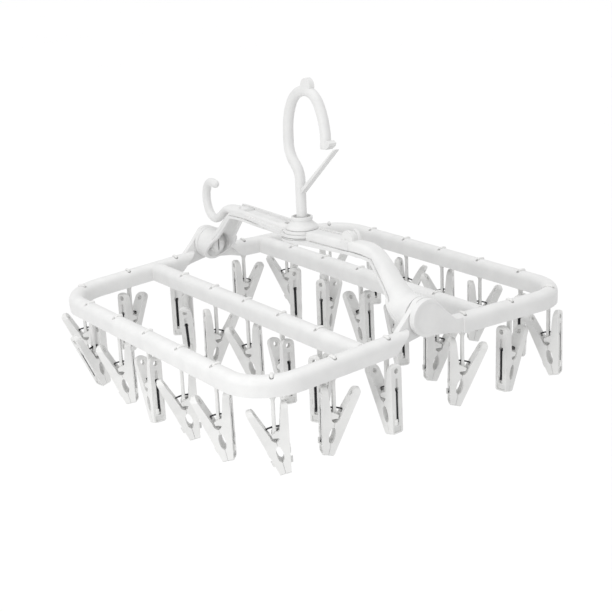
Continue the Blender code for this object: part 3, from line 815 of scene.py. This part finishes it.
def clip_link():
    """Neck, knob and flat strap of the hanging link, from under the bar to the boss."""
    profile = (                 # (z, half width, half thickness, superellipse power)
        (0.6, 1.4, 1.4, 2), (-15.6, 1.4, 1.4, 2), (-17.4, 2.0, 2.0, 2), (-18.6, 2.9, 2.9, 2),
        (-20.0, 3.3, 3.3, 2), (-21.6, 3.1, 3.1, 2), (-22.8, 2.3, 2.6, 2.4), (-24.2, 1.7, 2.5, 4),
        (-50.0, 1.7, 2.5, 5), (-54, 2.2, 2.5, 5), (-56.4, 3.1, 2.5, 5), (-58.6, 2.2, 2.4, 4),
        (-59.6, 0.8, 2.0, 3),
    )
    turns = [2 * math.pi * (k + 0.5) / 20 for k in range(20)]
    rings = [[(half_x * squared(math.cos(t), power), half_y * squared(math.sin(t), power), z)
              for t in turns] for z, half_x, half_y, power in profile]
    body = new_object("clip_link", *loft(rings))
    cut(body, prism(rectangle(-9, 9, BOSS_Z + 4.6, BOSS_Z + 8.6), -1.8, 1.8, "y"))
    body.data.shade_smooth()
    body.data.set_sharp_from_angle(angle=math.radians(50))
    return body


def clip_head():
    """The link's long domed head, which lies in the slot across the bar."""
    outline = stadium(0, 0, HEAD_LENGTH, HEAD_WIDTH, 0, 7)
    layers = ((-1.7, 0.96), (-0.4, 1.0), (0.3, 0.95), (0.9, 0.82), (1.3, 0.6), (1.5, 0.3))
    rings = [[(a * share, b * share, z) for a, b in outline] for z, share in layers]
    body = new_object("clip_head", *loft(rings))
    soften(body, 0.2, angle=50)
    return body


def clip_turn(node, axis_spot):
    """Which way a clip's press lever points: the way its CAD node reaches furthest from the link."""
    arms = [v.co - axis_spot for v in frame["nodes"][node].data.vertices]
    reach = max(math.hypot(a.x, a.y) for a in arms)
    far = [a for a in arms if math.hypot(a.x, a.y) > 0.97 * reach]
    return math.atan2(sum(a.y for a in far), sum(a.x for a in far))


def instance(name, master):
    obj = bpy.data.objects.new(name, master.data)
    bpy.context.scene.collection.objects.link(obj)
    return obj


def hang_clips(label, masters, plastic, steel):
    """Sixteen clips of a wing, each in the place and turn of its CAD clip."""
    near = label == "near_clip"
    sag = Matrix.Rotation(NEAR_SAG, 4, "X") if near else Matrix()
    for number, (_, _, across) in enumerate(clip_holes(), 1):
        body = f"{label}_{number:02d}"
        crown = Vector(JOINTS[f"{body}_swing"]["pos_m"])
        loose = f"{body}_grip" in frame["bodies"]

        turn = Matrix.Rotation(clip_turn(f"{body}_press_lever" if near else body, crown), 4, "Z")
        upright = Matrix.Translation(crown) @ turn
        boss = Matrix.Translation(crown + Vector((0, 0, BOSS_Z * MM)))
        leaning = boss @ turn @ Matrix.Rotation(CLIP_LEAN, 4, "Y")
        shift = HEAD_SHIFT if number <= LONG_BAR_CLIPS else SIDE_HEAD_SHIFT
        seated = Matrix.Translation(crown) @ sag @ Matrix.Translation((0, shift * MM, 0))
        seated = seated @ Matrix.Rotation(across + (math.pi if near else 0), 4, "Z")

        grip_body = f"{body}_grip" if loose else body
        press_body = f"{body}_press" if near else body
        link_nodes = [f"{body}_link"] if loose else [body]
        grip_nodes = [f"{body}_grip_lever"] if loose else [body]
        press_nodes = [f"{body}_press_lever"] if near else [body]
        spring_nodes = [f"{body}_spring"] if loose else [body]
        rows = (
            ("head", plastic, body, link_nodes, seated),
            ("link", plastic, body, link_nodes, upright),
            ("grip", plastic, grip_body, grip_nodes, leaning),
            ("press", plastic, press_body, press_nodes, leaning),
            ("spring", steel, grip_body, spring_nodes, leaning),
            ("press_spring", steel, press_body, press_nodes, leaning),
        )
        for part, material, rider, nodes, matrix in rows:
            look = instance(f"{body}_{part}_look", masters[part])
            dress(look, material, rider, nodes, matrix)


# ---------------------------------------------------------------- stage


def area_light(name, spot, target, size, power):
    data = bpy.data.lights.new(name, "AREA")
    data.shape, data.size, data.energy = "DISK", size, power
    lamp = bpy.data.objects.new(name, data)
    lamp.location = spot
    lamp.rotation_euler = (Vector(target) - Vector(spot)).to_track_quat("-Z", "Y").to_euler()
    bpy.context.scene.collection.objects.link(lamp)


def lay_floor(spot):
    """A wide pale disc below the clips."""
    floor = new_object("floor", *prism(circle(0, 0, 3e5, 48), -20, 0, "z"))
    floor.location = spot
    floor.visible_diffuse = False
    paper = bpy.data.materials.new("floor_paper")
    paper.use_nodes = True
    nodes, links = paper.node_tree.nodes, paper.node_tree.links
    shader = nodes["Principled BSDF"]
    shader.inputs["Roughness"].default_value = 0.9
    where = nodes.new("ShaderNodeTexCoord")
    tone = ramp(nodes, links, noise(nodes, links, where, 0.4), 0.975, 0.985)
    links.new(tone.outputs["Color"], shader.inputs["Base Color"])
    floor.data.materials.append(paper)


def surround():
    """White surroundings: full white to the camera, a softer light on the hanger."""
    world = bpy.data.worlds.new("studio")
    world.use_nodes = True
    nodes, links = world.node_tree.nodes, world.node_tree.links
    nodes["Background"].inputs["Color"].default_value = (1, 1, 1, 1)
    seen = nodes.new("ShaderNodeLightPath")
    strength = nodes.new("ShaderNodeMath")
    strength.operation = "MULTIPLY_ADD"
    strength.inputs[1].default_value = 1.0 - AMBIENT
    strength.inputs[2].default_value = AMBIENT
    links.new(seen.outputs["Is Camera Ray"], strength.inputs[0])
    links.new(strength.outputs["Value"], nodes["Background"].inputs["Strength"])
    bpy.context.scene.world = world
    bpy.context.scene.view_settings.view_transform = "Standard"


def stage():
    """Pale floor, white surroundings, soft lamps and the camera."""
    low, high = CAD_BOX
    middle = (low + high) / 2
    lay_floor((middle.x, middle.y, low.z - 2.0))
    surround()

    sun = bpy.data.lights.new("sky_panel", "SUN")
    sun.energy, sun.angle = 0.86, math.radians(70)
    lamp = bpy.data.objects.new("sky_panel", sun)
    bpy.context.scene.collection.objects.link(lamp)
    area_light("key", middle + Vector((0.42, -1.02, 0.12)), middle, 0.7, 3.5)

    lens = bpy.data.cameras.new("camera")
    lens.lens, lens.sensor_width = 77.0, 36.0
    camera = bpy.data.objects.new("camera", lens)
    camera.location = (1.1104, -0.7672, 0.1914)
    camera.rotation_euler = tuple(math.radians(a) for a in (72.776, 2.356, 54.828))
    bpy.context.scene.collection.objects.link(camera)
    bpy.context.scene.camera = camera


def hang_wings(white):
    """The far wing level and the near wing at its sag, both turned about the hinge line."""
    hinge = Matrix.Translation(ORIGIN + Vector((0, 0, HINGE_Z * MM)))
    back = Matrix.Translation((0, 0, -HINGE_Z * MM))
    half_turn = Matrix.Rotation(math.pi, 4, "Z")
    near = hinge @ Matrix.Rotation(NEAR_SAG, 4, "X") @ half_turn @ back
    far_look = wing("far_wing_look")
    near_look = instance("near_wing_look", far_look)
    near_look.data = far_look.data.copy()
    dress(far_look, white, "far_wing", ["far_wing_frame"], hinge @ back)
    dress(near_look, white, "near_wing", ["near_wing_frame"], near)


def main():
    stage()
    light, shadow = (0.80, 0.80, 0.795), (0.76, 0.76, 0.757)
    white = moulded_plastic("plastic_frame", light, shadow, 0.47, 0.10)
    light, shadow = (0.80, 0.80, 0.79), (0.75, 0.75, 0.743)
    clip_white = moulded_plastic("plastic_clip", light, shadow, 0.36, 0.12)
    steel = spring_steel("steel_wire")

    hang_wings(white)
    dress(arm("left_arm_look", True), white, "bridge", ["left_arm"])
    dress(arm("right_arm_look", False), white, "bridge", ["right_arm"])
    dress(side_hook(), white, "bridge", ["left_arm"])
    dress(swivel_collar(), white, "bridge", ["swivel_boss"])
    dress(split_pin("left_pin_look", -1), white, "near_wing", ["left_hinge_pin"])
    dress(split_pin("right_pin_look", 1), white, "far_wing", ["right_hinge_pin"])
    dress(hook(), white, "hook", ["swivel_hook"])
    dress(gate(), white, "gate", ["hook_gate"])
    retainer = frame["nodes"]["stem_retainer"]
    retainer.data.materials.clear()
    retainer.data.materials.append(white)

    masters = {
        "head": clip_head(), "link": clip_link(),
        "grip": lever("grip_lever", -1), "press": lever("press_lever", 1),
        "spring": clip_spring("grip_spring", -1), "press_spring": clip_spring("press_spring", 1),
    }
    for label in ("near_clip", "far_clip"):
        hang_clips(label, masters, clip_white, steel)
    for master in masters.values():
        bpy.data.objects.remove(master, do_unlink=True)


main()
